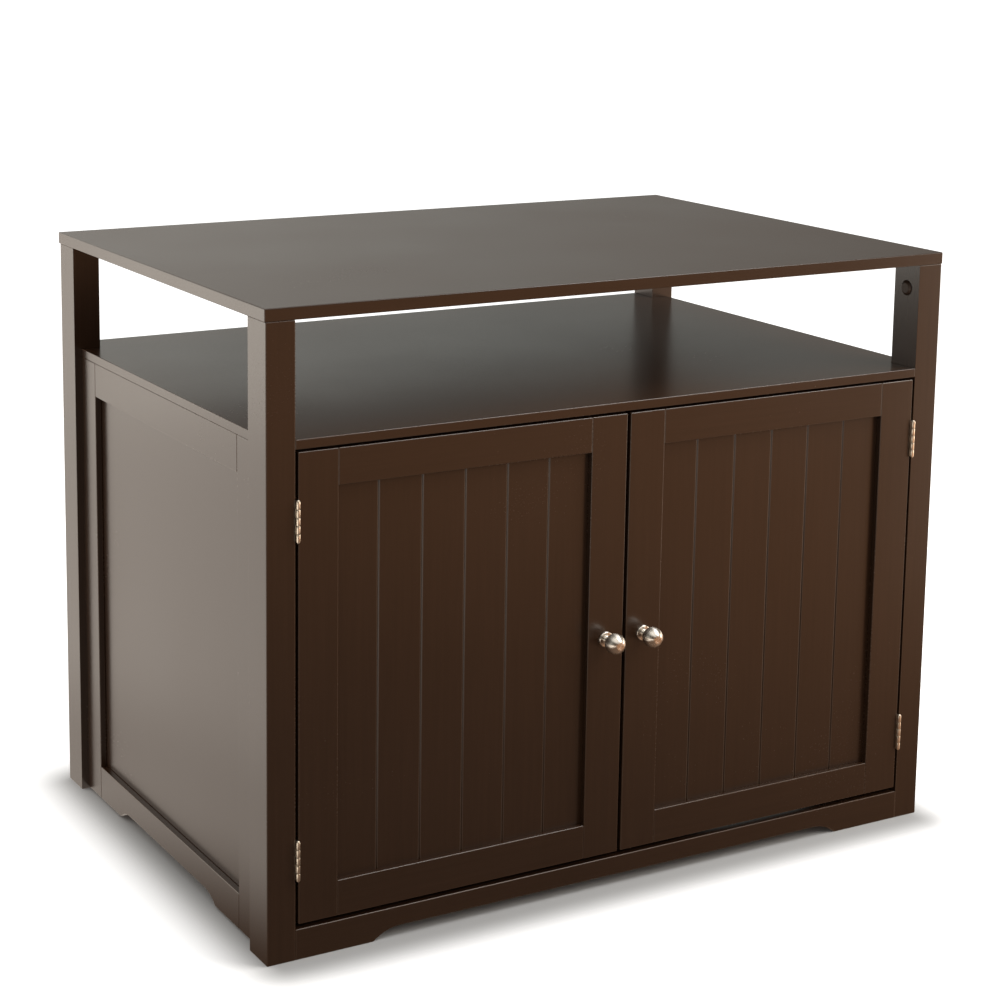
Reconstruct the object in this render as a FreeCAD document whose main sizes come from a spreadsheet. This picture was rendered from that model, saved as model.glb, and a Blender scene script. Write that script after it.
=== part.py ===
"""Cat litter box cabinet: a painted cabinet with an open bay over a closed chamber.

Frame: millimetres, X to the right, Y to the back, Z up. The origin is on the floor,
in the middle of the width and of the whole depth, from the knobs to the top's rear edge.
"""
import FreeCAD, Part
import math
import os
import re
import Sketcher

Vector = FreeCAD.Vector
Rotation = FreeCAD.Rotation
Placement = FreeCAD.Placement
Rule = Sketcher.Constraint

# ---------------------------------------------------------------- driving dimensions

SIZES = {
    # overall
    "cabinet_width": "800",
    "cabinet_depth": "540",
    "cabinet_height": "635",
    # top panel
    "top_thickness": "12.5",
    "top_side_overhang": "1",
    "top_rear_overhang": "2.5",
    "top_edge_radius": "1",
    # legs
    "leg_width": "30",
    "leg_depth": "40",
    # open bay and shelf
    "bay_height": "112",
    "shelf_thickness": "9.5",
    # side frames
    "side_inset": "7.5",
    "side_thickness": "18",
    "side_stile_width": "41.5",
    "side_rail_width": "37",
    "side_foot_lift": "3",
    "side_foot_length": "58",
    "side_arch_sweep": "28",
    "side_arch_rise": "9.5",
    # the cat's entry in the right side panel
    "entry_width": "190",
    "entry_height": "235",
    "entry_sill": "42",
    # aprons and rear rail
    "apron_height": "31",
    "apron_thickness": "15",
    "apron_foot_length": "84",
    "apron_arch_sweep": "30",
    "apron_arch_rise": "11",
    "rear_rail_height": "36",
    # doors
    "door_thickness": "18",
    "door_stile_width": "41.5",
    "door_rail_width": "36",
    "door_gap_side": "3",
    "door_gap_centre": "4",
    "door_gap_top": "2.5",
    "door_gap_bottom": "5",
    # panels that sit in the grooves of a frame
    "panel_thickness": "5",
    "panel_recess": "7",
    "groove_depth": "8",
    "groove_play": "0.1",
    "panel_float": "1",
    "bead_pitch": "47.4",
    "bead_width": "2.4",
    "bead_depth": "1.2",
    # back and bottom
    "back_thickness": "4",
    "back_inset": "5",
    "back_groove_depth": "6",
    "bottom_thickness": "9.5",
    "cleat_width": "15",
    "cleat_height": "10",
    "cleat_screw_spacing": "185",
    # door stop rail and magnet catch
    "stop_rail_height": "20",
    "stop_rail_depth": "18",
    "stop_gap": "0.5",
    "catch_width": "56",
    "catch_depth": "14",
    "catch_height": "13",
    "catch_screw_inset": "5.5",
    "catch_screw_setback": "10.5",
    "magnet_spacing": "32",
    "magnet_width": "20",
    "magnet_height": "8",
    "magnet_depth": "7",
    "strike_width": "22",
    "strike_height": "11",
    "strike_thickness": "1.2",
    "strike_gap": "0.3",
    # butt hinges
    "hinge_height": "39",
    "hinge_end_distance": "65",
    "hinge_leaf_width": "15",
    "hinge_leaf_thickness": "1.2",
    "hinge_barrel_diameter": "4.2",
    "hinge_pin_diameter": "2",
    "hinge_pin_head_diameter": "3.6",
    "hinge_pin_crown_diameter": "2",
    "hinge_pin_head_height": "1.2",
    "hinge_pin_play": "0.05",
    "hinge_clearance": "0.3",
    "hinge_screw_spacing": "22",
    # knobs
    "knob_base_diameter": "16",
    "knob_base_height": "2.6",
    "knob_base_bevel": "0.9",
    "knob_neck_diameter": "7",
    "knob_head_diameter": "21",
    "knob_head_reach": "18",
    "knob_face_diameter": "8",
    "knob_bolt_diameter": "4",
    "knob_bolt_depth": "9",
    "knob_bolt_head_diameter": "8",
    "knob_bolt_head_height": "2",
    # cam joints: the top on the legs, and the shelf on the side rails
    "cam_diameter": "15",
    "cam_depth": "13",
    "cam_axis_depth": "9",
    "leg_cam_drop": "27",
    "rail_cam_drop": "20",
    "rail_cam_spacing": "270",
    "cam_slot_length": "10",
    "cam_slot_width": "2",
    "cam_slot_depth": "3",
    "cam_bolt_diameter": "6",
    "cam_bolt_grip": "7",
    "cam_cap_diameter": "15.5",
    "cam_cap_height": "2.6",
    "cam_cap_rim": "0.8",
    "cam_cap_face_diameter": "11",
    # dowels
    "dowel_diameter": "8",
    "dowel_length": "30",
    "dowel_end_gap": "0.8",
    "side_dowel_margin": "60",
    # screws: each kind has a shank, a length and a countersunk head
    "cleat_screw_diameter": "3.5",
    "cleat_screw_length": "16",
    "cleat_screw_head": "6.5",
    "catch_screw_diameter": "3",
    "catch_screw_length": "22",
    "catch_screw_head": "5.4",
    "small_screw_diameter": "2.4",
    "small_screw_length": "12",
    "small_screw_head": "4.4",
    "screw_point_diameter": "0.8",
    "fastener_play": "0.05",
}

doc = FreeCAD.newDocument("litter_cabinet")
sheet = doc.addObject("Spreadsheet::Sheet", "Dimensions")
for row, (alias, text) in enumerate(SIZES.items(), start=1):
    sheet.set(f"A{row}", alias.replace("_", " "))
    sheet.set(f"B{row}", text)
    sheet.setAlias(f"B{row}", alias)
doc.recompute()

SIZE_NAME = re.compile(r"(?<![.\w])([a-z]+(?:_[a-z]+)+)\b")


def expr(formula):
    """Turn a formula of size names into an expression on the sheet."""
    return "(" + SIZE_NAME.sub(r"Dimensions.\1", str(formula)) + ")"


def number(expression):
    """The present value of an expression."""
    return float(sheet.evalExpression(str(expression)))


def middle_of(span):
    """The middle of a span between two expressions."""
    return f"(({span[0]} + ({span[1]})) / 2)"


# ------------------------------------------------------------------ derived positions

leg_outer = expr("cabinet_width / 2 - top_side_overhang")
leg_inner = expr(f"{leg_outer} - leg_width")
knob_reach = expr(
    "knob_head_reach + sqrt((knob_head_diameter / 2) ^ 2 - (knob_face_diameter / 2) ^ 2)"
)
front = expr(f"({knob_reach} - cabinet_depth) / 2")
top_rear_edge = expr(f"{front} + cabinet_depth")
back = expr(f"{top_rear_edge} - top_rear_overhang")
front_leg_back = expr(f"{front} + leg_depth")
rear_leg_front = expr(f"{back} - leg_depth")

top_under = expr("cabinet_height - top_thickness")
shelf_top = expr(f"{top_under} - bay_height")
shelf_under = expr(f"{shelf_top} - shelf_thickness")

side_face = expr(f"{leg_outer} - side_inset")
side_back = expr(f"{side_face} - side_thickness")
side_middle = middle_of((front_leg_back, rear_leg_front))

apron_back = expr(f"{front} + apron_thickness")
rear_rail_front = expr(f"{back} - apron_thickness")
rear_rail_under = expr(f"{shelf_under} - rear_rail_height")
between_legs = (f"-{leg_inner}", leg_inner)

back_rear_face = expr(f"{back} - back_inset")
back_front_face = expr(f"{back_rear_face} - back_thickness")
back_groove_low = expr("apron_height - back_groove_depth")
back_groove_high = expr(f"{rear_rail_under} + back_groove_depth")
back_groove_depth_span = (
    expr(f"{back_front_face} - groove_play / 2"),
    expr(f"{back_rear_face} + groove_play / 2"),
)
bottom_under = expr("apron_height - bottom_thickness")
cleat_under = expr(f"{bottom_under} - cleat_height")

door_top = expr(f"{shelf_under} - door_gap_top")
door_bottom = expr("apron_height + door_gap_bottom")
door_outer = expr(f"{leg_inner} - door_gap_side")
door_inner = expr("door_gap_centre / 2")
door_back = expr(f"{front} + door_thickness")

stop_front = expr(f"{door_back} + stop_gap")
stop_back = expr(f"{stop_front} + stop_rail_depth")
stop_under = expr(f"{shelf_under} - stop_rail_height")
catch_front = expr(f"{door_back} + strike_thickness + strike_gap")
catch_under = expr(f"{stop_under} - catch_height")
catch_level = middle_of((catch_under, stop_under))

hinge_axis_x = expr(f"{leg_inner} - door_gap_side / 2")
hinge_axis_y = expr(f"{front} - hinge_barrel_diameter / 2 - hinge_clearance")
hinge_levels = {
    "top": expr(f"{door_top} - hinge_end_distance"),
    "bottom": expr(f"{door_bottom} + hinge_end_distance"),
}
KNUCKLES = 5
knuckle_height = expr(f"(hinge_height - {KNUCKLES - 1} * hinge_clearance) / {KNUCKLES}")

SIDES = {"left": -1, "right": 1}
TURNS = {
    "+x": Rotation(Vector(0, 1, 0), 90),
    "-x": Rotation(Vector(0, 1, 0), -90),
    "+y": Rotation(Vector(1, 0, 0), -90),
    "-y": Rotation(Vector(1, 0, 0), 90),
    "+z": Rotation(),
    "-z": Rotation(Vector(1, 0, 0), 180),
}
parts = []


# ------------------------------------------------------------------- building blocks

def bind(thing, **expressions):
    """Bind properties of an object to expressions."""
    for name, expression in expressions.items():
        thing.setExpression(name, str(expression))


def move(thing, x, y, z, turn=Rotation()):
    """Turn an object and place it at a point given by expressions."""
    thing.Placement = Placement(Vector(), turn)
    for axis, expression in zip("xyz", (x, y, z)):
        thing.setExpression(f"Placement.Base.{axis}", str(expression))
    return thing


def block(name, x, y, z):
    """A box between two limits on each axis."""
    box = doc.addObject("Part::Box", name)
    for edge, (low, high) in zip(("Length", "Width", "Height"), (x, y, z)):
        box.setExpression(edge, f"{high} - ({low})")
    return move(box, x[0], y[0], z[0])


def rod(name, diameter, length, start, way="+z"):
    """A cylinder that starts at a point and runs along one axis."""
    cylinder = doc.addObject("Part::Cylinder", name)
    bind(cylinder, Radius=f"{diameter} / 2", Height=length)
    return move(cylinder, *start, TURNS[way])


def cone(name, base, tip, length, start, way="+z"):
    """A cone frustum that starts at a point and runs along one axis."""
    frustum = doc.addObject("Part::Cone", name)
    bind(frustum, Radius1=f"{base} / 2", Radius2=f"{tip} / 2", Height=length)
    return move(frustum, *start, TURNS[way])


def group(name, members):
    """Several solids kept apart in one object."""
    compound = doc.addObject("Part::Compound", name)
    compound.Links = members
    return compound


def join(name, members):
    """Several overlapping solids made one."""
    fusion = doc.addObject("Part::MultiFuse", name)
    fusion.Shapes = members
    fusion.Refine = True
    return fusion


def carve(name, base, tools):
    """A solid with all the tools cut out of it."""
    cut = doc.addObject("Part::Cut", name)
    cut.Base = base
    cut.Tool = group(f"{name}_tools", tools)
    return cut


def keep(label, thing):
    """Mark a finished sub-part; its label names its file."""
    thing.Label = label
    parts.append(thing)


def across(sign, near, far):
    """The span between two distances from the middle plane, on one side of it."""
    return (near, far) if sign > 0 else (f"-{far}", f"-{near}")


def around(middle, length):
    """The span of a length about its middle."""
    return (f"({middle} - {length} / 2)", f"({middle} + {length} / 2)")


def shifted(point, way, distance):
    """A point moved along one axis, as +x or -z, by a distance."""
    moved = list(point)
    index = "xyz".index(way[1])
    moved[index] = f"({moved[index]} {way[0]} ({distance}))"
    return tuple(moved)


def side_way(sign, outward):
    """The direction along X that leads away from, or to, the middle plane."""
    return "+x" if (sign > 0) == outward else "-x"


def new_body(name):
    """A body, and the level plane that its sketches lie on."""
    body = doc.addObject("PartDesign::Body", name)
    planes = {plane.Role: plane for plane in body.Origin.OriginFeatures}
    return body, planes["XY_Plane"]


def new_sketch(body, plane, name):
    """An empty sketch on a plane of its own body."""
    sketch = body.newObject("Sketcher::SketchObject", name)
    sketch.AttachmentSupport = [(plane, "")]
    sketch.MapMode = "FlatFace"
    return sketch


def drive(sketch, expression, kind, *references):
    """Add a dimension to a sketch and bind it to an expression."""
    index = sketch.addConstraint(Rule(kind, *references, number(expression)))
    sketch.setExpression(f"Constraints[{index}]", str(expression))


def fix_point(sketch, edge, end, x, y):
    """Hold a point of an edge at a place given by expressions."""
    drive(sketch, x, "DistanceX", -1, 1, edge, end)
    drive(sketch, y, "DistanceY", -1, 1, edge, end)


def polygon(sketch, corners):
    """A closed outline through corners given by expressions."""
    places = [Vector(number(x), number(y), 0) for x, y in corners]
    followers = places[1:] + places[:1]
    for start, end in zip(places, followers):
        sketch.addGeometry(Part.LineSegment(start, end))
    for index, (x, y) in enumerate(corners):
        sketch.addConstraint(Rule("Coincident", index, 2, (index + 1) % len(corners), 1))
        fix_point(sketch, index, 1, x, y)


def circle(sketch, diameter, x, y):
    """A circle whose size and centre are given by expressions."""
    centre = Vector(number(x), number(y), 0)
    edge = sketch.addGeometry(Part.Circle(centre, Vector(0, 0, 1), number(diameter) / 2))
    drive(sketch, diameter, "Diameter", edge)
    fix_point(sketch, edge, 3, x, y)


def pad(body, sketch, length, name):
    """Raise a sketch to a thickness."""
    feature = body.newObject("PartDesign::Pad", name)
    feature.Profile = sketch
    feature.setExpression("Length", str(length))
    return feature


def turn_about_axis(body, sketch, name):
    """Revolve half a section about the upright axis of its sketch."""
    feature = body.newObject("PartDesign::Revolution", name)
    feature.Profile = sketch
    feature.ReferenceAxis = (sketch, ["V_Axis"])
    feature.Angle = 360


def pocket_up(body, sketch, depth, name):
    """Sink a sketch on the lower face upwards into the body."""
    feature = body.newObject("PartDesign::Pocket", name)
    feature.Profile = sketch
    feature.Reversed = True
    feature.setExpression("Length", str(depth))
    return feature


# ------------------------------------------------------------------------ wood joints

def dowel_sites():
    """Every dowel joint: a point on the joint's face and the axis across it."""
    side_x = expr(f"{side_face} - side_thickness / 2")
    side_levels = (expr("side_dowel_margin"), expr(f"{shelf_under} - side_dowel_margin"))
    front_apron_y = expr(f"{front} + apron_thickness / 2")
    rear_rail_y = expr(f"{back} - apron_thickness / 2")
    apron_level = expr("apron_height / 2")
    rails = (
        (front_apron_y, apron_level),
        (rear_rail_y, apron_level),
        (rear_rail_y, middle_of((rear_rail_under, shelf_under))),
        (middle_of((stop_front, stop_back)), middle_of((stop_under, shelf_under))),
    )
    sites = []
    for sign in SIDES.values():
        for joint_y in (front_leg_back, rear_leg_front):
            sites += [(f"{sign} * {side_x}", joint_y, level, "y") for level in side_levels]
        sites += [(f"{sign} * {leg_inner}", y, level, "x") for y, level in rails]
    return sites


def make_dowels():
    """Beech dowels across the joints; returns the bores by the point of each joint."""
    dowels = []
    bores = {}
    half_bore = expr("dowel_length / 2 + dowel_end_gap")
    for index, (x, y, z, axis) in enumerate(dowel_sites()):
        point = (x, y, z)
        dowels.append(rod(
            f"dowel_{index}", expr("dowel_diameter"), expr("dowel_length"),
            shifted(point, f"-{axis}", expr("dowel_length / 2")), f"+{axis}",
        ))
        bores[point] = rod(
            f"dowel_bore_{index}", expr("dowel_diameter + 2 * fastener_play"), f"2 * {half_bore}",
            shifted(point, f"-{axis}", half_bore), f"+{axis}",
        )
    keep("wood_dowels", group("dowel_set", dowels))
    return bores


def bores_in(bores, x, y, z):
    """The dowel bores whose joint lies in or on a box."""
    slack = 0.01

    def holds(point):
        return all(
            number(low) - slack <= number(value) <= number(high) + slack
            for value, (low, high) in zip(point, (x, y, z))
        )

    return [bore for point, bore in bores.items() if holds(point)]


def cam_sites():
    """Every cam joint: the piece that holds it, its place, and the joint above it."""
    leg_ys = {"front": expr(f"{front} + leg_depth / 2"), "rear": expr(f"{back} - leg_depth / 2")}
    rail_ys = dict(zip(("front", "rear"), around(side_middle, expr("rail_cam_spacing"))))
    sites = []
    for holder, face_x, ys, joint_z in (
        ("leg", leg_inner, leg_ys, top_under),
        ("rail", side_back, rail_ys, shelf_under),
    ):
        for side in SIDES:
            sites += [(holder, side, end, face_x, y, joint_z) for end, y in ys.items()]
    return sites


def cam_bolt_bores(sketch, holder):
    """The bolt bores in the board over the cams of one kind of holder."""
    for found, side, end, face_x, y, joint_z in cam_sites():
        if found == holder:
            x = f"{SIDES[side]} * ({face_x} + {expr('cam_axis_depth')})"
            circle(sketch, expr("cam_bolt_diameter + 2 * fastener_play"), x, y)


def make_cams():
    """Cam locks, bolts and caps; returns the bores by holder, side and end."""
    bolts = []
    locks = []
    caps = []
    bores = {}
    bore_depth = expr("cam_depth + fastener_play")
    for holder, side, end, face_x, y, joint_z in cam_sites():
        sign = SIDES[side]
        name = f"{holder}_{side}_{end}"
        drop = expr(f"{holder}_cam_drop")
        level = f"({joint_z} - {drop})"
        face_point = (f"{sign} * {face_x}", y, level)
        axis_point = (f"{sign} * ({face_x} + {expr('cam_axis_depth')})", y, level)
        outward = side_way(sign, True)
        bolts.append(rod(
            f"cam_bolt_{name}", expr("cam_bolt_diameter"),
            expr(f"{drop} - cam_diameter / 2 + cam_bolt_grip"),
            shifted(axis_point, "+z", expr("cam_diameter / 2")),
        ))
        locks.append(make_cam_lock(name, sign, face_x, face_point))
        bores[(holder, side, end)] = [
            rod(
                f"cam_bolt_bore_{name}", expr("cam_bolt_diameter + 2 * fastener_play"), drop,
                axis_point,
            ),
            rod(
                f"cam_bore_{name}", expr("cam_diameter + 2 * fastener_play"), bore_depth,
                face_point, outward,
            ),
        ]
        if holder == "leg":
            caps.append(make_cap(name, face_point, side_way(sign, False)))
    keep("cam_bolts", group("cam_bolt_set", bolts))
    keep("cam_locks", group("cam_lock_set", locks))
    keep("cam_caps", group("cam_cap_set", caps))
    return bores


def make_cam_lock(name, sign, face_x, face_point):
    """A cam: a short cylinder with a crossed slot in its face."""
    y, level = face_point[1:]
    blank = rod(
        f"cam_blank_{name}", expr("cam_diameter"), expr("cam_depth"), face_point,
        side_way(sign, True),
    )
    slot_x = across(sign, face_x, f"({face_x} + {expr('cam_slot_depth')})")
    long_side = expr("cam_slot_length")
    short_side = expr("cam_slot_width")
    slots = [
        block(f"cam_slot_y_{name}", slot_x, around(y, long_side), around(level, short_side)),
        block(f"cam_slot_z_{name}", slot_x, around(y, short_side), around(level, long_side)),
    ]
    return carve(f"cam_{name}", blank, slots)


def make_cap(name, point, way):
    """A plastic cap over a cam: a disc with a wide bevel, turned about its axis."""
    rim_radius = expr("cam_cap_diameter / 2")
    face_radius = expr("cam_cap_face_diameter / 2")
    rim = expr("cam_cap_rim")
    height = expr("cam_cap_height")
    body, plane = new_body(f"cam_cap_{name}")
    sketch = new_sketch(body, plane, f"cam_cap_profile_{name}")
    polygon(sketch, [
        ("0", "0"), (rim_radius, "0"), (rim_radius, rim), (face_radius, height), ("0", height),
    ])
    turn_about_axis(body, sketch, f"cam_cap_turning_{name}")
    outward_turns = {"+x": Rotation(Vector(0, 0, 1), -90), "-x": Rotation(Vector(0, 0, 1), 90)}
    return move(body, *point, outward_turns[way])


def screw(name, kind, point, way):
    """A countersunk screw from the middle of its head, and the hole that it sits in."""
    diameter = expr(f"{kind}_diameter")
    head = expr(f"{kind}_head")
    head_height = expr(f"({kind}_head - {kind}_diameter) / 2")
    length = expr(f"{kind}_length")
    shank = f"({length} - {diameter})"
    play = expr("2 * fastener_play")
    solids = [
        cone(f"{name}_head", head, diameter, head_height, point, way),
        rod(f"{name}_shank", diameter, shank, point, way),
        cone(
            f"{name}_tip", diameter, expr("screw_point_diameter"), diameter,
            shifted(point, way, shank), way,
        ),
    ]
    tools = [
        cone(
            f"{name}_sink", f"({head} + {play})", f"({diameter} + {play})", head_height,
            point, way,
        ),
        rod(f"{name}_bore", f"({diameter} + {play})", f"{length} + {play}", point, way),
    ]
    return join(name, solids), join(f"{name}_hole", tools)


# ---------------------------------------------------------------------------- boards

def make_top():
    """The top panel, with a rounded upper edge and blind bores for the cam bolts."""
    body, plane = new_body("top_body")
    half_x = expr("cabinet_width / 2")
    sketch = new_sketch(body, plane, "top_outline")
    polygon(sketch, [
        (f"-{half_x}", front), (half_x, front),
        (half_x, top_rear_edge), (f"-{half_x}", top_rear_edge),
    ])
    plate = pad(body, sketch, expr("top_thickness"), "top_plate")
    doc.recompute()
    half_thickness = number(expr("top_thickness / 2"))
    upper_edges = [
        f"Edge{index}" for index, edge in enumerate(plate.Shape.Edges, start=1)
        if edge.BoundBox.ZMin > half_thickness
    ]
    rounding = body.newObject("PartDesign::Fillet", "top_rounding")
    rounding.Base = (plate, upper_edges)
    rounding.setExpression("Radius", expr("top_edge_radius"))
    bores = new_sketch(body, plane, "top_bores")
    cam_bolt_bores(bores, "leg")
    pocket_up(body, bores, expr("cam_bolt_grip + fastener_play"), "top_bolt_bores")
    move(body, "0", "0", top_under)
    keep("top_panel", body)


def notched_outline(sketch, half_x, front_y, back_y):
    """A board's outline between the legs, notched at each corner to go round them."""
    sides = (f"-{half_x}", half_x)
    polygon(sketch, [
        (between_legs[0], front_y), (between_legs[1], front_y),
        (between_legs[1], front_leg_back), (sides[1], front_leg_back),
        (sides[1], rear_leg_front), (between_legs[1], rear_leg_front),
        (between_legs[1], back_y), (between_legs[0], back_y),
        (between_legs[0], rear_leg_front), (sides[0], rear_leg_front),
        (sides[0], front_leg_back), (between_legs[0], front_leg_back),
    ])


def make_shelf():
    """The shelf under the bay, with blind bores for the cam bolts of the side rails."""
    body, plane = new_body("shelf_body")
    sketch = new_sketch(body, plane, "shelf_outline")
    notched_outline(sketch, side_face, front, back)
    pad(body, sketch, expr("shelf_thickness"), "shelf_plate")
    bores = new_sketch(body, plane, "shelf_bores")
    cam_bolt_bores(bores, "rail")
    pocket_up(body, bores, expr("cam_bolt_grip + fastener_play"), "shelf_bolt_bores")
    move(body, "0", "0", shelf_under)
    keep("shelf_panel", body)


def make_bottom(screw_holes):
    """The chamber's floor, flush with the aprons that it lies between."""
    body, plane = new_body("bottom_body")
    sketch = new_sketch(body, plane, "bottom_outline")
    notched_outline(sketch, side_back, apron_back, rear_rail_front)
    pad(body, sketch, expr("bottom_thickness"), "bottom_plate")
    move(body, "0", "0", bottom_under)
    keep("bottom_panel", carve("bottom_bored", body, screw_holes))


def make_cleats():
    """The battens under the bottom panel; returns their screw holes."""
    screws = []
    holes = []
    rows = {
        "front": (apron_back, expr(f"{apron_back} + cleat_width")),
        "rear": (expr(f"{rear_rail_front} - cleat_width"), rear_rail_front),
    }
    for end, y in rows.items():
        own_holes = []
        for step in (-1, 0, 1):
            point = (f"{step} * {expr('cleat_screw_spacing')}", middle_of(y), cleat_under)
            fastener, hole = screw(f"{end}_cleat_screw_{step + 1}", "cleat_screw", point, "+z")
            screws.append(fastener)
            own_holes.append(hole)
        blank = block(f"{end}_cleat_blank", between_legs, y, (cleat_under, bottom_under))
        keep(f"{end}_cleat", carve(f"{end}_cleat_cut", blank, own_holes))
        holes += own_holes
    keep("cleat_screws", group("cleat_screw_set", screws))
    return holes


def make_back_panel():
    """The thin back panel, held in grooves on all four sides."""
    edge = expr(f"{leg_inner} + back_groove_depth - panel_float")
    z = (expr(f"{back_groove_low} + panel_float / 2"), expr(f"{back_groove_high} - panel_float"))
    y = (back_front_face, back_rear_face)
    keep("back_panel", block("back_board", (f"-{edge}", edge), y, z))


# -------------------------------------------------------------------- legs and rails

def make_legs(dowel_bores, cam_bores, hinge_holes):
    """Four legs; the front pair carries the hinges, the rear pair the back panel."""
    groove_far = expr(f"{leg_inner} + back_groove_depth")
    z = ("0", top_under)
    for side, sign in SIDES.items():
        x = across(sign, leg_inner, leg_outer)
        back_groove = block(
            f"{side}_leg_groove", across(sign, leg_inner, groove_far), back_groove_depth_span,
            (back_groove_low, back_groove_high),
        )
        own_tools = {"front": hinge_holes[side], "rear": [back_groove]}
        depths = {"front": (front, front_leg_back), "rear": (rear_leg_front, back)}
        for end, y in depths.items():
            name = f"{end}_{side}_leg"
            tools = own_tools[end] + cam_bores[("leg", side, end)]
            tools += bores_in(dowel_bores, x, y, z)
            keep(name, carve(f"{name}_cut", block(f"{name}_blank", x, y, z), tools))


def make_cross_rail(name, y, z, dowel_bores, tools):
    """A rail from leg to leg, doweled at both ends."""
    blank = block(f"{name}_blank", between_legs, y, z)
    tools = tools + bores_in(dowel_bores, between_legs, y, z)
    keep(name, carve(f"{name}_cut", blank, tools))


def make_rails(dowel_bores, catch_holes):
    """The arched aprons, the rear rail under the shelf and the door stop rail."""
    half_span = expr(f"{leg_inner} - apron_foot_length")
    thickness = expr("apron_thickness")
    front_y = (front, apron_back)
    rear_y = (rear_rail_front, back)
    arches = [
        arch(f"{name}_arch", "apron", half_span, ("0", y[1], "0"), thickness, "-y")
        for name, y in (("front_apron", front_y), ("rear_apron", rear_y))
    ]
    grooves = [
        block(f"{name}_groove", between_legs, back_groove_depth_span, z)
        for name, z in (
            ("rear_apron", (back_groove_low, expr("apron_height"))),
            ("rear_rail", (rear_rail_under, back_groove_high)),
        )
    ]
    apron_z = ("0", expr("apron_height"))
    make_cross_rail("front_apron", front_y, apron_z, dowel_bores, [arches[0]])
    make_cross_rail("rear_apron", rear_y, apron_z, dowel_bores, [arches[1], grooves[0]])
    make_cross_rail(
        "rear_top_rail", rear_y, (rear_rail_under, shelf_under), dowel_bores, [grooves[1]]
    )
    make_cross_rail(
        "door_stop_rail", (stop_front, stop_back), (stop_under, shelf_under), dowel_bores,
        catch_holes,
    )


def arch(name, kind, half_span, start, length, way):
    """The space under a flat arch with rounded ends, to cut from the foot of a rail.

    The outline stands on its base line, and runs from the start point along -y or +x.
    """
    sweep = expr(f"{kind}_arch_sweep")
    rise = expr(f"{kind}_arch_rise")
    half = number(half_span)
    height = number(rise)
    shoulder = half - number(sweep)
    radius = (number(sweep) ** 2 + height ** 2) / (2 * height)
    foot_angle = math.atan2(radius - height, number(sweep))
    upright = math.pi / 2
    up = Vector(0, 0, 1)
    right_circle = Part.Circle(Vector(shoulder, height - radius, 0), up, radius)
    left_circle = Part.Circle(Vector(-shoulder, height - radius, 0), up, radius)
    sketch = doc.addObject("Sketcher::SketchObject", f"{name}_outline")
    base = sketch.addGeometry(Part.LineSegment(Vector(-half, 0, 0), Vector(half, 0, 0)))
    right = sketch.addGeometry(Part.ArcOfCircle(right_circle, foot_angle, upright))
    crown = sketch.addGeometry(
        Part.LineSegment(Vector(shoulder, height, 0), Vector(-shoulder, height, 0))
    )
    left = sketch.addGeometry(Part.ArcOfCircle(left_circle, upright, math.pi - foot_angle))
    sketch.addConstraint([
        Rule("Coincident", base, 2, right, 1),
        Rule("Tangent", right, 2, crown, 1),
        Rule("Tangent", crown, 2, left, 1),
        Rule("Coincident", left, 2, base, 1),
        Rule("Symmetric", base, 1, base, 2, -2),
        Rule("PointOnObject", base, 1, -1),
        Rule("Symmetric", crown, 1, crown, 2, -2),
    ])
    drive(sketch, half_span, "DistanceX", -1, 1, base, 2)
    drive(sketch, sweep, "DistanceX", right, 2, base, 2)
    drive(sketch, rise, "DistanceY", -1, 1, crown, 1)
    space = doc.addObject("Part::Extrusion", name)
    space.Base = sketch
    space.DirMode = "Normal"
    space.Solid = True
    space.setExpression("LengthFwd", length)
    turns = {"-y": Rotation(Vector(1, 0, 0), 90), "+x": Rotation(Vector(1, 1, 1), 120)}
    return move(space, *start, turns[way])


# -------------------------------------------------------------------- framed panels

def make_frame(prefix, slab, u, v, w, widths, stiles, tools):
    """Two stiles, two rails tenoned into them, and grooves for a panel.

    u runs across the frame, v up it, and w into it from its face; slab makes a box from
    three such spans. Returns the spans of the panel that the grooves hold.
    """
    stile, rail = widths
    deep = expr("groove_depth")
    play = expr("groove_play / 2")
    inner_u = (f"({u[0]} + {stile})", f"({u[1]} - {stile})")
    inner_v = (f"({v[0]} + {rail})", f"({v[1]} - {rail})")
    panel_w = (expr("panel_recess"), expr("panel_recess + panel_thickness"))
    slot_w = (f"({panel_w[0]} - {play})", f"({panel_w[1]} + {play})")
    slot_u = (f"({inner_u[0]} - {deep})", f"({inner_u[1]} + {deep})")
    slot_v = (f"({inner_v[0]} - {deep})", f"({inner_v[1]} + {deep})")
    tenon_u = (f"({slot_u[0]} + {play})", f"({slot_u[1]} - {play})")

    spans = ((u[0], inner_u[0], slot_u[0], inner_u[0]), (inner_u[1], u[1], inner_u[1], slot_u[1]))
    for name, (low, high, slot_low, slot_high) in zip(stiles, spans):
        label = f"{prefix}_{name}"
        blank = slab(f"{label}_blank", (low, high), v, w)
        groove = slab(f"{label}_groove", (slot_low, slot_high), v, slot_w)
        keep(label, carve(f"{label}_cut", blank, [groove] + tools.get(name, [])))

    spans = ((v[0], inner_v[0], slot_v[0], inner_v[0]), (inner_v[1], v[1], inner_v[1], slot_v[1]))
    for name, (low, high, slot_low, slot_high) in zip(("bottom_rail", "top_rail"), spans):
        label = f"{prefix}_{name}"
        blank = join(f"{label}_blank", [
            slab(f"{label}_bar", inner_u, (low, high), w),
            slab(f"{label}_tenon", tenon_u, (low, high), panel_w),
        ])
        groove = slab(f"{label}_groove", slot_u, (slot_low, slot_high), slot_w)
        keep(label, carve(f"{label}_cut", blank, [groove] + tools.get(name, [])))

    room = expr("panel_float")
    panel_u = (f"({slot_u[0]} + {room})", f"({slot_u[1]} - {room})")
    panel_v = (f"({slot_v[0]} + {room})", f"({slot_v[1]} - {room})")
    return panel_u, panel_v, panel_w


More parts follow.
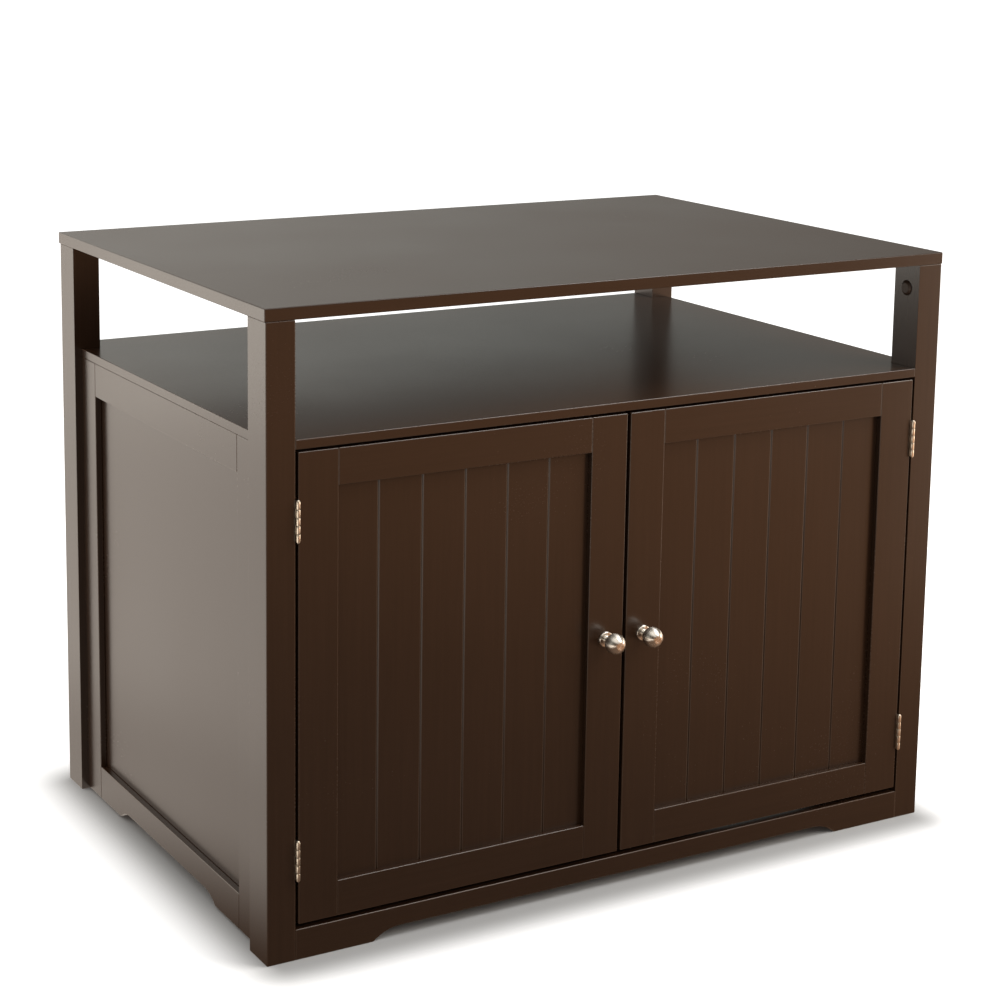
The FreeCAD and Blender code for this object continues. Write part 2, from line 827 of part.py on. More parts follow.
def make_side(side, dowel_bores, cam_bores):
    """One side frame with its plain panel; the right one has the cat's entry."""
    sign = SIDES[side]
    u = (front_leg_back, rear_leg_front)
    v = (expr("side_foot_lift"), shelf_under)
    x = across(sign, side_back, side_face)

    def slab(name, across_span, up_span, deep_span):
        near = f"({side_face} - {deep_span[1]})"
        far = f"({side_face} - {deep_span[0]})"
        return block(name, across(sign, near, far), across_span, up_span)

    half_span = expr(
        f"({rear_leg_front} - {front_leg_back}) / 2 - side_stile_width - side_foot_length"
    )
    foot_arch = arch(
        f"{side}_side_arch", "side", half_span, (x[0], side_middle, v[0]),
        expr("side_thickness"), "+x",
    )
    tools = {
        "front_stile": bores_in(dowel_bores, x, (u[0], u[0]), v),
        "rear_stile": bores_in(dowel_bores, x, (u[1], u[1]), v),
        "top_rail": cam_bores[("rail", side, "front")] + cam_bores[("rail", side, "rear")],
        "bottom_rail": [foot_arch],
    }
    widths = (expr("side_stile_width"), expr("side_rail_width"))
    panel = make_frame(
        f"{side}_side", slab, u, v, ("0", expr("side_thickness")), widths,
        ("front_stile", "rear_stile"), tools,
    )
    board = slab(f"{side}_side_board", *panel)
    if side == "right":
        board = carve("right_side_board_cut", board, [make_entry()])
    keep(f"{side}_side_panel", board)


def make_entry():
    """The cat's doorway, with upright sides and a round head."""
    width = expr("entry_width")
    sill = expr("side_foot_lift + side_rail_width + entry_sill")
    spring = expr(f"{sill} + entry_height - entry_width / 2")
    depth = (side_back, side_face)
    doorway = block("entry_doorway", depth, around(side_middle, width), (sill, spring))
    head = rod(
        "entry_head", width, expr("side_thickness"), (side_back, side_middle, spring), "+x"
    )
    return join("entry_space", [doorway, head])


def make_door(side, tools):
    """One door: a frame round a beadboard panel."""
    u = across(SIDES[side], door_inner, door_outer)
    v = (door_bottom, door_top)

    def slab(name, across_span, up_span, deep_span):
        y = (f"({front} + {deep_span[0]})", f"({front} + {deep_span[1]})")
        return block(name, across_span, y, up_span)

    stiles = ("hinge_stile", "meeting_stile")
    panel = make_frame(
        f"{side}_door", slab, u, v, ("0", expr("door_thickness")),
        (expr("door_stile_width"), expr("door_rail_width")),
        stiles if side == "left" else stiles[::-1], tools,
    )
    make_beadboard(side, *panel)


def make_beadboard(side, u, v, w):
    """A thin panel with five upright V grooves in its face, evenly spaced."""
    body, plane = new_body(f"{side}_bead_body")
    half_u = f"(({u[1]} - {u[0]}) / 2)"
    face = f"-{expr('panel_thickness')}"
    valley = expr("bead_depth - panel_thickness")
    half_bead = expr("bead_width / 2")
    corners = [(f"-{half_u}", "0"), (half_u, "0"), (half_u, face)]
    for step in (2, 1, 0, -1, -2):
        middle = f"({step} * {expr('bead_pitch')})"
        corners += [
            (f"{middle} + {half_bead}", face),
            (middle, valley),
            (f"{middle} - {half_bead}", face),
        ]
    corners.append((f"-{half_u}", face))
    sketch = new_sketch(body, plane, f"{side}_bead_section")
    polygon(sketch, corners)
    pad(body, sketch, f"{v[1]} - {v[0]}", f"{side}_bead_board")
    move(body, middle_of(u), f"{front} + {w[1]}", v[0])
    keep(f"{side}_door_beadboard", body)


# -------------------------------------------------------------------------- hardware

def make_leaf(name, sign, level, near, far, own_knuckles):
    """A hinge leaf: a plate in the gap beside the door, with its share of the knuckles."""
    height = expr("hinge_height")
    x = across(sign, near, far)
    plate_back = expr(f"{front} + hinge_leaf_width")
    axis_x = f"{sign} * {hinge_axis_x}"
    low = around(level, height)[0]
    solids = [block(f"{name}_plate", x, (front, plate_back), around(level, height))]
    for index in own_knuckles:
        knuckle_low = f"({low} + {index} * ({knuckle_height} + {expr('hinge_clearance')}))"
        knuckle_z = (knuckle_low, f"({knuckle_low} + {knuckle_height})")
        solids += [
            block(f"{name}_neck_{index}", x, (hinge_axis_y, plate_back), knuckle_z),
            rod(
                f"{name}_knuckle_{index}", expr("hinge_barrel_diameter"), knuckle_height,
                (axis_x, hinge_axis_y, knuckle_low),
            ),
        ]
    bore = rod(
        f"{name}_pin_bore", expr("hinge_pin_diameter + 2 * hinge_pin_play"), height,
        (axis_x, hinge_axis_y, low),
    )
    return join(f"{name}_blank", solids), bore


def make_pin(name, axis_x, level):
    """A hinge pin with a low domed head at each end of the barrel."""
    height = expr("hinge_height")
    low, high = around(level, height)
    head = expr("hinge_pin_head_diameter")
    crown = expr("hinge_pin_crown_diameter")
    rise = expr("hinge_pin_head_height")
    foot_point = (axis_x, hinge_axis_y, low)
    return join(name, [
        rod(f"{name}_shank", expr("hinge_pin_diameter"), height, foot_point),
        cone(f"{name}_upper", head, crown, rise, (axis_x, hinge_axis_y, high)),
        cone(f"{name}_lower", head, crown, rise, foot_point, "-z"),
    ])


def make_hinges():
    """Four butt hinges; returns the screws and the screw holes by owner and side."""
    thickness = expr("hinge_leaf_thickness")
    screw_y = expr(f"{front} + hinge_leaf_width / 2")
    owners = {
        "leg": (f"({leg_inner} - {thickness})", leg_inner, (0, 2, 4), True),
        "door": (door_outer, f"({door_outer} + {thickness})", (1, 3), False),
    }
    screws = {(owner, side): [] for owner in owners for side in SIDES}
    holes = {(owner, side): [] for owner in owners for side in SIDES}
    pins = []
    for side, sign in SIDES.items():
        for place, level in hinge_levels.items():
            pins.append(make_pin(f"{side}_{place}_pin", f"{sign} * {hinge_axis_x}", level))
            for owner, (near, far, own_knuckles, outward) in owners.items():
                name = f"{side}_{place}_hinge_{owner}_leaf"
                blank, bore = make_leaf(name, sign, level, near, far, own_knuckles)
                head_x = near if outward else far
                own_holes = []
                for z in around(level, expr("hinge_screw_spacing")):
                    fastener, hole = screw(
                        f"{name}_screw_{len(own_holes)}", "small_screw",
                        (f"{sign} * {head_x}", screw_y, z), side_way(sign, outward),
                    )
                    screws[(owner, side)].append(fastener)
                    own_holes.append(hole)
                holes[(owner, side)] += own_holes
                keep(name, carve(f"{name}_cut", blank, [bore] + own_holes))
    keep("hinge_pins", group("hinge_pin_set", pins))
    return screws, holes


def knob_profile(sketch):
    """Half of a knob's section, up its axis: flange, neck, and a ball with a flat face."""
    base_radius = expr("knob_base_diameter / 2")
    base_height = expr("knob_base_height")
    neck_radius = expr("knob_neck_diameter / 2")
    neck_top = expr(
        "knob_head_reach - sqrt((knob_head_diameter / 2) ^ 2 - (knob_neck_diameter / 2) ^ 2)"
    )
    outline = [
        ("0", "0"),
        (base_radius, "0"),
        (base_radius, expr("knob_base_height - knob_base_bevel")),
        (expr("knob_base_diameter / 2 - knob_base_bevel"), base_height),
        (neck_radius, base_height),
        (neck_radius, neck_top),
    ]
    points = [Vector(number(x), number(y), 0) for x, y in outline]
    centre = Vector(0, number(expr("knob_head_reach")), 0)
    radius = number(expr("knob_head_diameter / 2"))
    face_radius = number(expr("knob_face_diameter / 2"))
    ball = Part.Circle(centre, Vector(0, 0, 1), radius)
    start_angle = math.atan2(points[-1].y - centre.y, points[-1].x)
    end_angle = math.acos(face_radius / radius)
    face_y = centre.y + radius * math.sin(end_angle)
    rim = Vector(face_radius, face_y, 0)
    tip = Vector(0, face_y, 0)
    lines = [
        sketch.addGeometry(Part.LineSegment(low, high)) for low, high in zip(points, points[1:])
    ]
    head = sketch.addGeometry(Part.ArcOfCircle(ball, start_angle, end_angle))
    face = sketch.addGeometry(Part.LineSegment(rim, tip))
    axis = sketch.addGeometry(Part.LineSegment(tip, points[0]))
    chain = lines + [head, face, axis]
    for edge, follower in zip(chain, chain[1:] + chain[:1]):
        sketch.addConstraint(Rule("Coincident", edge, 2, follower, 1))
    for edge, (x, y) in zip(lines + [head], outline):
        fix_point(sketch, edge, 1, x, y)
    fix_point(sketch, head, 3, "0", expr("knob_head_reach"))
    drive(sketch, expr("knob_face_diameter / 2"), "DistanceX", -1, 1, head, 2)
    sketch.addConstraint([Rule("Horizontal", face), Rule("Vertical", axis)])


def make_knob(side):
    """A turned knob with the machine screw behind it; returns the screw's hole."""
    sign = SIDES[side]
    x = f"{sign} * {expr(f'{door_inner} + door_stile_width / 2')}"
    z = middle_of((door_bottom, door_top))
    body, plane = new_body(f"{side}_knob_body")
    sketch = new_sketch(body, plane, f"{side}_knob_profile")
    knob_profile(sketch)
    turn_about_axis(body, sketch, f"{side}_knob_turning")
    move(body, x, front, z, Rotation(Vector(1, 0, 0), 180))
    seat = (x, door_back, z)
    reach = expr("door_thickness + knob_bolt_depth")
    bolt = join(f"{side}_knob_bolt", [
        rod(f"{side}_knob_thread", expr("knob_bolt_diameter"), reach, seat, "-y"),
        rod(
            f"{side}_knob_bolt_head", expr("knob_bolt_head_diameter"),
            expr("knob_bolt_head_height"), seat, "+y",
        ),
    ])
    bore = rod(
        f"{side}_knob_bore", expr("knob_bolt_diameter + 2 * fastener_play"),
        expr(f"{reach} + fastener_play"), seat, "-y",
    )
    keep(f"{side}_knob_screw", bolt)
    keep(f"{side}_knob", carve(f"{side}_knob_cut", body, [bore]))
    return bore


def make_strike(side):
    """A steel strike plate on the back of a door; returns its screw and the hole."""
    sign = SIDES[side]
    middle = f"{sign} * {expr('magnet_spacing / 2')}"
    rear = expr(f"{door_back} + strike_thickness")
    plate = block(
        f"{side}_strike_blank", around(middle, expr("strike_width")), (door_back, rear),
        around(catch_level, expr("strike_height")),
    )
    fastener, hole = screw(
        f"{side}_strike_screw", "small_screw", (middle, rear, catch_level), "-y"
    )
    keep(f"{side}_strike_plate", carve(f"{side}_strike_cut", plate, [hole]))
    return fastener, hole


def make_catch():
    """A double magnet catch under the stop rail; returns its screws and their holes."""
    half_width = expr("catch_width / 2")
    depth = (catch_front, expr(f"{catch_front} + catch_depth"))
    blank = block("catch_blank", (f"-{half_width}", half_width), depth, (catch_under, stop_under))
    magnet_y = (catch_front, expr(f"{catch_front} + magnet_depth"))
    magnet_z = around(catch_level, expr("magnet_height"))
    screw_y = expr(f"{catch_front} + catch_screw_setback")
    magnets = []
    screws = []
    holes = []
    for side, sign in SIDES.items():
        magnet_x = around(f"{sign} * {expr('magnet_spacing / 2')}", expr("magnet_width"))
        magnets.append(block(f"{side}_magnet", magnet_x, magnet_y, magnet_z))
        screw_x = f"{sign} * {expr('catch_width / 2 - catch_screw_inset')}"
        fastener, hole = screw(
            f"{side}_catch_screw", "catch_screw", (screw_x, screw_y, catch_under), "+z"
        )
        screws.append(fastener)
        holes.append(hole)
    keep("magnet_catch", carve("catch_cut", blank, magnets + holes))
    keep("catch_magnets", group("magnet_set", magnets))
    return screws, holes


# -------------------------------------------------------------------------- assembly

def build():
    """Every sub-part of the cabinet."""
    dowel_bores = make_dowels()
    cam_bores = make_cams()
    hinge_screws, hinge_holes = make_hinges()
    catch_screws, catch_holes = make_catch()
    leg_screws = [each for side in SIDES for each in hinge_screws[("leg", side)]]
    keep("hardware_screws", group("hardware_screw_set", leg_screws + catch_screws))
    make_top()
    make_shelf()
    make_bottom(make_cleats())
    make_back_panel()
    make_legs(dowel_bores, cam_bores, {side: hinge_holes[("leg", side)] for side in SIDES})
    make_rails(dowel_bores, catch_holes)
    for side in SIDES:
        make_side(side, dowel_bores, cam_bores)
        strike_screw, strike_hole = make_strike(side)
        make_door(side, {
            "hinge_stile": hinge_holes[("door", side)],
            "meeting_stile": [make_knob(side), strike_hole],
        })
        door_screws = hinge_screws[("door", side)] + [strike_screw]
        keep(f"{side}_door_screws", group(f"{side}_door_screw_set", door_screws))


def check():
    """Stop if anything in the document failed to build."""
    for thing in doc.Objects:
        if "Invalid" in thing.State or "Error" in thing.State:
            raise RuntimeError(f"{thing.Name} failed: {thing.State}")
    for part in parts:
        if part.Shape.isNull() or not part.Shape.isValid():
            raise RuntimeError(f"{part.Label} has no valid shape")
        if not part.Shape.Solids:
            raise RuntimeError(f"{part.Label} holds no solid")


build()
doc.recompute()
check()
os.makedirs("parts", exist_ok=True)
for part in parts:
    part.Shape.exportStep(f"parts/{part.Label}.step")
print(len(parts), "sub-parts written")
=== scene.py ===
"""A cat litter box cabinet, dressed over its CAD frame: satin espresso paint with eased
arrises, turned nickel knobs, plated hinges and bare wood inside. Metres, Z up."""
import math

import bmesh
import bpy
from mathutils import Matrix, Vector


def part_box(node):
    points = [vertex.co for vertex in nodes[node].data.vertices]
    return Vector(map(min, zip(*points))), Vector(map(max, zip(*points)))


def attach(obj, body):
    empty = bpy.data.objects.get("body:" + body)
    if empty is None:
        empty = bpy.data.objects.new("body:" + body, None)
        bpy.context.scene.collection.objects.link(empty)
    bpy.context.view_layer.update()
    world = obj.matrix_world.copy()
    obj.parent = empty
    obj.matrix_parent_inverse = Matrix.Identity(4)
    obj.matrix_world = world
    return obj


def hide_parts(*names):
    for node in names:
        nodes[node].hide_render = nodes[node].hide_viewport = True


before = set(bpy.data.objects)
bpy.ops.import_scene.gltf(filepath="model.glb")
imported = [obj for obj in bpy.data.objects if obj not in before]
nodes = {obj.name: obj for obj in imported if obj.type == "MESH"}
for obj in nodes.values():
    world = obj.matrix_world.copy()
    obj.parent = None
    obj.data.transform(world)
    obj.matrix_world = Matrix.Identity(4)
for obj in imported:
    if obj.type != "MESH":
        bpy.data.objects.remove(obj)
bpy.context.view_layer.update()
X, Y, Z = range(3)
NOISE_LOW, NOISE_HIGH = 0.30, 0.70  # where nearly all of a noise's values lie


def set_stops(ramp, stops):
    """Gives a colour ramp its (position, colour) stops."""
    elements = ramp.color_ramp.elements
    while len(elements) < len(stops):
        elements.new(0.5)
    for element, (position, colour) in zip(elements, stops):
        element.position = position
        element.color = (*colour, 1.0)


class Finish:
    """A Principled material and the procedural nodes that drive it."""

    def __init__(self, name):
        self.material = bpy.data.materials.new(name)
        self.material.use_nodes = True
        self.tree = self.material.node_tree
        self.shader = self.tree.nodes["Principled BSDF"]
        self.place = self.add("ShaderNodeTexCoord").outputs["Object"]

    def add(self, kind, **settings):
        """A new node with these properties."""
        node = self.tree.nodes.new(kind)
        for key, value in settings.items():
            setattr(node, key, value)
        return node

    def join(self, source, target):
        self.tree.links.new(source, target)

    def set(self, **values):
        """Constants go straight to the shader's own sockets."""
        for key, value in values.items():
            self.shader.inputs[key.replace("_", " ").title()].default_value = value

    def noise(self, stretch, detail=2.0, rough=0.5, warp=0.0):
        """Noise whose cells are 1 / stretch metres in X, Y and Z."""
        mapping = self.add("ShaderNodeMapping")
        mapping.inputs["Scale"].default_value = stretch
        self.join(self.place, mapping.inputs["Vector"])
        noise = self.add("ShaderNodeTexNoise")
        noise.inputs["Scale"].default_value = 1.0
        noise.inputs["Detail"].default_value = detail
        noise.inputs["Roughness"].default_value = rough
        noise.inputs["Distortion"].default_value = warp
        self.join(mapping.outputs["Vector"], noise.inputs["Vector"])
        return noise.outputs["Fac"]

    def blend(self, first, second, share):
        """Two factors mixed into one."""
        mix = self.add("ShaderNodeMix", data_type="FLOAT")
        mix.inputs["Factor"].default_value = share
        self.join(first, mix.inputs["A"])
        self.join(second, mix.inputs["B"])
        return mix.outputs["Result"]

    def colour(self, factor, stops):
        """The base colour runs through stops, a list of (position, colour)."""
        ramp = self.add("ShaderNodeValToRGB")
        set_stops(ramp, stops)
        self.join(factor, ramp.inputs["Fac"])
        self.join(ramp.outputs["Color"], self.shader.inputs["Base Color"])

    def roughness(self, factor, low, high):
        """The roughness follows a factor from low to high."""
        span = self.add("ShaderNodeMapRange")
        span.inputs["From Min"].default_value = NOISE_LOW
        span.inputs["From Max"].default_value = NOISE_HIGH
        span.inputs["To Min"].default_value = low
        span.inputs["To Max"].default_value = high
        self.join(factor, span.inputs["Value"])
        self.join(span.outputs["Result"], self.shader.inputs["Roughness"])

    def bump(self, layers):
        """Relief from (factor, height in metres) layers, one over the other."""
        below = None
        for factor, height in layers:
            bump = self.add("ShaderNodeBump")
            bump.inputs["Strength"].default_value = 1.0
            bump.inputs["Distance"].default_value = height
            self.join(factor, bump.inputs["Height"])
            if below is not None:
                self.join(below, bump.inputs["Normal"])
            below = bump.outputs["Normal"]
        self.join(below, self.shader.inputs["Normal"])


def stretched(across, lengthwise, grain_axis):
    """Noise scales for a grain that runs along one axis."""
    return tuple(lengthwise if axis == grain_axis else across for axis in (X, Y, Z))


def even(scale):
    """The same noise scale in every direction."""
    return (scale, scale, scale)


def paint(name, grain_axis, dark, light, low, high):
    """Satin sprayed paint: the grain telegraphs through, under a fine orange peel."""
    finish = Finish(name)
    grain = finish.noise(stretched(240, 7, grain_axis), detail=4, rough=0.6, warp=0.4)
    streak = finish.noise(stretched(900, 16, grain_axis), detail=2)
    cloud = finish.noise(even(4.5), detail=3)
    peel = finish.noise(even(430), detail=2)
    dust = finish.noise(even(2600), detail=1)
    tone = finish.blend(finish.blend(grain, streak, 0.35), cloud, 0.45)
    finish.colour(tone, [(NOISE_LOW, dark), (NOISE_HIGH, light)])
    finish.roughness(finish.blend(cloud, peel, 0.4), low, high)
    finish.bump([(grain, 0.000007), (streak, 0.000003), (peel, 0.000005), (dust, 0.000001)])
    return finish.material


# Each paint's darkest and lightest colour: on the faces, and the lighter colours of the painted
# highlights on the arrises and on the edges of the beadboards' grooves.
ESPRESSO = ((0.030, 0.0138, 0.0068), (0.041, 0.0190, 0.0096))
ARRIS_HIGHLIGHT = ((0.050, 0.026, 0.015), (0.078, 0.044, 0.027))
GROOVE_HIGHLIGHT = ((0.070, 0.043, 0.029), (0.100, 0.063, 0.043))
painted = {axis: paint(f"espresso_paint_{'xyz'[axis]}", axis, *ESPRESSO, 0.21, 0.28)
           for axis in (X, Y, Z)}
# Lighter copies of the paint for the arrises: a painted highlight along every edge.
arris_highlight = {axis: paint(f"espresso_arris_highlight_{'xyz'[axis]}", axis, *ARRIS_HIGHLIGHT, 0.20, 0.30)
        for axis in (X, Y, Z)}
# A lighter paint for the edges of the beadboards' grooves: a painted highlight.
groove_highlight = paint("espresso_groove_edge", Z, *GROOVE_HIGHLIGHT, 0.16, 0.24)


def bare_wood(name, grain_axis, dark, light, rings):
    """Planed wood: growth rings drawn out along the grain, and fine pores."""
    finish = Finish(name)
    ring = finish.noise(stretched(rings, 2.5, grain_axis), detail=3, rough=0.55, warp=1.2)
    pore = finish.noise(stretched(1400, 45, grain_axis), detail=2)
    cloud = finish.noise(even(9), detail=2)
    tone = finish.blend(finish.blend(ring, pore, 0.3), cloud, 0.2)
    middle = tuple((a + b) / 2 for a, b in zip(dark, light))
    finish.colour(tone, [(0.32, dark), (0.5, middle), (0.66, light)])
    finish.roughness(pore, 0.5, 0.68)
    finish.bump([(ring, 0.00003), (pore, 0.00003)])
    return finish.material


pine = bare_wood("bare_pine_x", X, (0.42, 0.26, 0.12), (0.68, 0.50, 0.29), 75)
beech = bare_wood("bare_beech_x", X, (0.50, 0.32, 0.18), (0.72, 0.52, 0.34), 160)


def metal(name, dark, light, stretch, low, high, depth, turned_about=None):
    """Plated metal with tool marks as fine as 1 / stretch, and a turned sheen if it has one."""
    finish = Finish(name)
    marks = finish.noise(stretch, detail=3, rough=0.65)
    cloud = finish.noise(even(160), detail=2)
    smudge = finish.noise(even(38), detail=2)
    finish.colour(finish.blend(marks, cloud, 0.4), [(NOISE_LOW, dark), (NOISE_HIGH, light)])
    finish.roughness(finish.blend(marks, smudge, 0.5), low, high)
    finish.bump([(marks, depth)])
    finish.set(metallic=1.0)
    if turned_about:
        finish.set(anisotropic=0.95, anisotropic_rotation=0.25)
        tangent = finish.add("ShaderNodeTangent", direction_type="RADIAL", axis=turned_about)
        finish.join(tangent.outputs["Tangent"], finish.shader.inputs["Tangent"])
    return finish.material


NICKEL = ((0.66, 0.61, 0.55), (0.82, 0.77, 0.70))
nickel = metal("turned_nickel", *NICKEL, (260, 2600, 260), 0.22, 0.31, 0.000002, "Y")
hinge_plate = metal(
    "plated_hinge", (0.70, 0.60, 0.48), (0.88, 0.79, 0.67), (900, 900, 160), 0.28, 0.44, 0.00001)
zinc = metal(
    "zinc_plate", (0.50, 0.51, 0.52), (0.70, 0.71, 0.72), even(700), 0.26, 0.42, 0.000008)
casting = metal(
    "die_cast_zinc", (0.40, 0.41, 0.43), (0.58, 0.59, 0.61), even(420), 0.42, 0.58, 0.00003)


def plastic(name, dark, light):
    """Moulded plastic with a fine spark-eroded texture."""
    finish = Finish(name)
    spark = finish.noise(even(1500), detail=2)
    cloud = finish.noise(even(60), detail=2)
    finish.colour(finish.blend(spark, cloud, 0.5), [(NOISE_LOW, dark), (NOISE_HIGH, light)])
    finish.roughness(spark, 0.42, 0.56)
    finish.bump([(spark, 0.000015)])
    return finish.material


cap_plastic = plastic("cap_plastic", (0.045, 0.024, 0.014), (0.065, 0.036, 0.022))
catch_plastic = plastic("catch_plastic", (0.085, 0.055, 0.038), (0.12, 0.08, 0.06))


WELD_REACH = 0.00008  # closes the play in joints, which would hold the bevel back
FLAT_ANGLE = math.radians(0.5)
ARRIS_ANGLE = math.radians(40)
PAINTED_ARRIS, GROOVE_ARRIS = 0.0009, 0.0003
CLEAT_ARRIS, HINGE_ARRIS, CATCH_ARRIS = 0.0005, 0.00045, 0.0004


def ease(node, width, segments, edge_material=None):
    """Breaks a piece's arrises, with a lighter paint on them as a painted highlight if one is
    given.
    """
    piece = nodes[node]
    weld = piece.modifiers.new("weld", "WELD")
    weld.merge_threshold = WELD_REACH
    flat = piece.modifiers.new("flat", "DECIMATE")
    flat.decimate_type = "DISSOLVE"
    flat.angle_limit = FLAT_ANGLE
    bevel = piece.modifiers.new("arris", "BEVEL")
    bevel.width = width
    bevel.segments = segments
    bevel.limit_method = "ANGLE"
    bevel.use_clamp_overlap = False
    bevel.angle_limit = ARRIS_ANGLE
    if edge_material:
        piece.data.materials.append(edge_material)
        bevel.material = len(piece.data.materials) - 1


def dress(node, material):
    """One finish over a CAD node."""
    data = nodes[node].data
    data.materials.clear()
    data.materials.append(material)


GRAIN_X = ("top_panel", "shelf_panel", "bottom_panel", "front_apron", "rear_apron",
           "rear_top_rail", "door_stop_rail", "door_top_rail", "door_bottom_rail")
GRAIN_Y = ("side_top_rail", "side_bottom_rail")
GRAIN_Z = ("leg", "stile", "beadboard", "side_panel", "back_panel")


def grain_of(stem):
    """The axis of a painted piece's grain, and None for a piece that isn't painted."""
    if stem in GRAIN_X:
        return X
    if stem in GRAIN_Y:
        return Y
    return Z if stem.endswith(GRAIN_Z) else None


for node in nodes:
    stem = node.replace("left_", "").replace("right_", "")
    grain_axis = grain_of(stem)
    if grain_axis is not None:
        dress(node, painted[grain_axis])
        # The arrises and the grooves' edges take the lighter paints of the painted highlights.
        if stem.endswith("beadboard"):
            ease(node, GROOVE_ARRIS, 3, groove_highlight)
        else:
            ease(node, PAINTED_ARRIS, 3, arris_highlight[grain_axis])
    elif stem.endswith("cleat"):
        dress(node, pine)
        ease(node, CLEAT_ARRIS, 2)
    elif stem == "wood_dowels":
        dress(node, beech)
    elif stem.endswith("leaf") or stem == "hinge_pins":
        dress(node, hinge_plate)
        ease(node, HINGE_ARRIS, 2)
    elif stem == "cam_caps":
        dress(node, cap_plastic)
    elif stem == "magnet_catch":
        dress(node, catch_plastic)
        ease(node, CATCH_ARRIS, 2)
    elif stem == "cam_locks":
        dress(node, casting)
    else:
        dress(node, zinc)


KNOB_SIDES = 96
SHARP_ANGLE = math.radians(38)


def turned(name, outline, foot):
    """A solid of revolution about -Y from foot, through (radius, reach) points."""
    mesh = bpy.data.meshes.new(name)
    work = bmesh.new()
    rings = []
    for radius, reach in outline:
        if radius == 0:
            rings.append([work.verts.new(foot + Vector((0, -reach, 0)))])
            continue
        rings.append([
            work.verts.new(foot + Vector((radius * math.cos(a), -reach, radius * math.sin(a))))
            for a in (2 * math.pi * k / KNOB_SIDES for k in range(KNOB_SIDES))])
    for low, high in zip(rings, rings[1:]):
        for k in range(KNOB_SIDES):
            after = (k + 1) % KNOB_SIDES
            corners = [low[k % len(low)], low[after % len(low)],
                       high[after % len(high)], high[k % len(high)]]
            work.faces.new(list(dict.fromkeys(corners)))
    bmesh.ops.recalc_face_normals(work, faces=work.faces)
    work.to_mesh(mesh)
    work.free()
    for polygon in mesh.polygons:
        polygon.use_smooth = True
    mesh.set_sharp_from_angle(angle=SHARP_ANGLE)
    piece = bpy.data.objects.new(name, mesh)
    bpy.context.scene.collection.objects.link(piece)
    return piece


def arc(centre_radius, centre_reach, radius, start, end, steps):
    """Points of an arc of the outline, from one angle to another, in degrees from outward."""
    angles = [math.radians(start + (end - start) * k / steps) for k in range(steps + 1)]
    return [(centre_radius + radius * math.cos(a), centre_reach + radius * math.sin(a))
            for a in angles]


def knob_outline():
    """Flange with a rolled rim, waisted neck, and a ball cut to a faintly dished face."""
    ball, reach, face, neck = 0.0105, 0.0180, 0.0040, 0.0035
    low = -math.degrees(math.acos(neck / ball))
    high = math.degrees(math.acos(face / ball))
    face_reach = reach + ball * math.sin(math.radians(high))
    flange = [(0, 0), (0.00760, 0), *arc(0.00740, 0.00060, 0.00060, -90, 0, 6),
              *arc(0.00690, 0.00140, 0.00110, 0, 90, 10), (0.00560, 0.00255)]
    waist = [*arc(0.00475, 0.00385, 0.00125, -90, -180, 8), (neck, 0.00600), (neck, 0.00800)]
    head = arc(0, reach, ball, low + 3, high - 2, 48)
    dish = [(face, 0.00005), (face - 0.00050, 0.00001), (face - 0.00120, 0.00006),
            (face * 0.4, 0.00012), (0, 0.00015)]
    return flange + waist + head + [(radius, face_reach - depth) for radius, depth in dish]


for side in ("left", "right"):
    low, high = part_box(f"{side}_knob")
    foot = Vector(((low.x + high.x) / 2, high.y, (low.z + high.z) / 2))
    knob = turned(f"{side}_knob_turned", knob_outline(), foot)
    knob.data.materials.append(nickel)
    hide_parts(f"{side}_knob")
    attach(knob, f"{side}_door")


def softbox(name, place, target, width, height, radiance, tint):
    """A soft rectangular lamp of an even brightness, turned to a target."""
    data = bpy.data.lights.new(name, "AREA")
    data.shape = "RECTANGLE"
    data.size = width
    data.size_y = height
    data.energy = radiance * math.pi * width * height
    data.color = tint
    lamp = bpy.data.objects.new(name, data)
    lamp.location = place
    lamp.visible_camera = False
    bpy.context.scene.collection.objects.link(lamp)
    lamp.rotation_euler = (Vector(target) - lamp.location).to_track_quat("-Z", "Y").to_euler()


WHITE, WARM, CREAM = (1, 1, 1), (1.0, 0.91, 0.79), (1.0, 0.94, 0.84)
# name, place, target, width, height, radiance, tint
LAMPS = (
    ("overhead_softbox", (1.35, -0.95, 2.6), (0.1, -0.1, 0.4), 1.6, 1.1, 6.0, WHITE),
    ("front_softbox", (1.75, -1.95, 1.6), (0.1, -0.25, 0.4), 1.3, 0.7, 5.0, WARM),
    ("right_softbox", (2.4, -0.95, 0.6), (0.2, -0.25, 0.35), 1.1, 1.0, 3.4, WARM),
    ("left_softbox", (-1.40, 1.2, 0.78), (-0.4, 0.0, 0.35), 1.2, 1.45, 1.3, CREAM),
)
for lamp_settings in LAMPS:
    softbox(*lamp_settings)


# The plain light of the world, and the studio that glossy rays see in its place: a
# gradient from front right to BRIGHT_SIDE, and two cards. A card is a direction, the
# cosines between which it fades in, and a colour.
PLAIN_LEVEL = 0.56
PLAIN_TINT = (1.0, 0.985, 0.96, 1.0)
ROOM_LEVEL = 1.6
BRIGHT_SIDE = (-0.60, 0.80, 0.0)
ROOM_STOPS = (
    (0.0, (0.040, 0.027, 0.018)),
    (0.50, (0.050, 0.042, 0.034)),
    (0.69, (0.250, 0.250, 0.232)),
    (0.85, (0.50, 0.48, 0.44)),
    (1.0, (0.90, 0.84, 0.755)),
)
CARDS = (
    ((0.93, -0.30, -0.15), 0.92, 0.985, (1.05, 0.94, 0.80)),
    ((0.10, -0.30, 0.95), 0.50, 0.90, (0.80, 0.78, 0.74)),
)
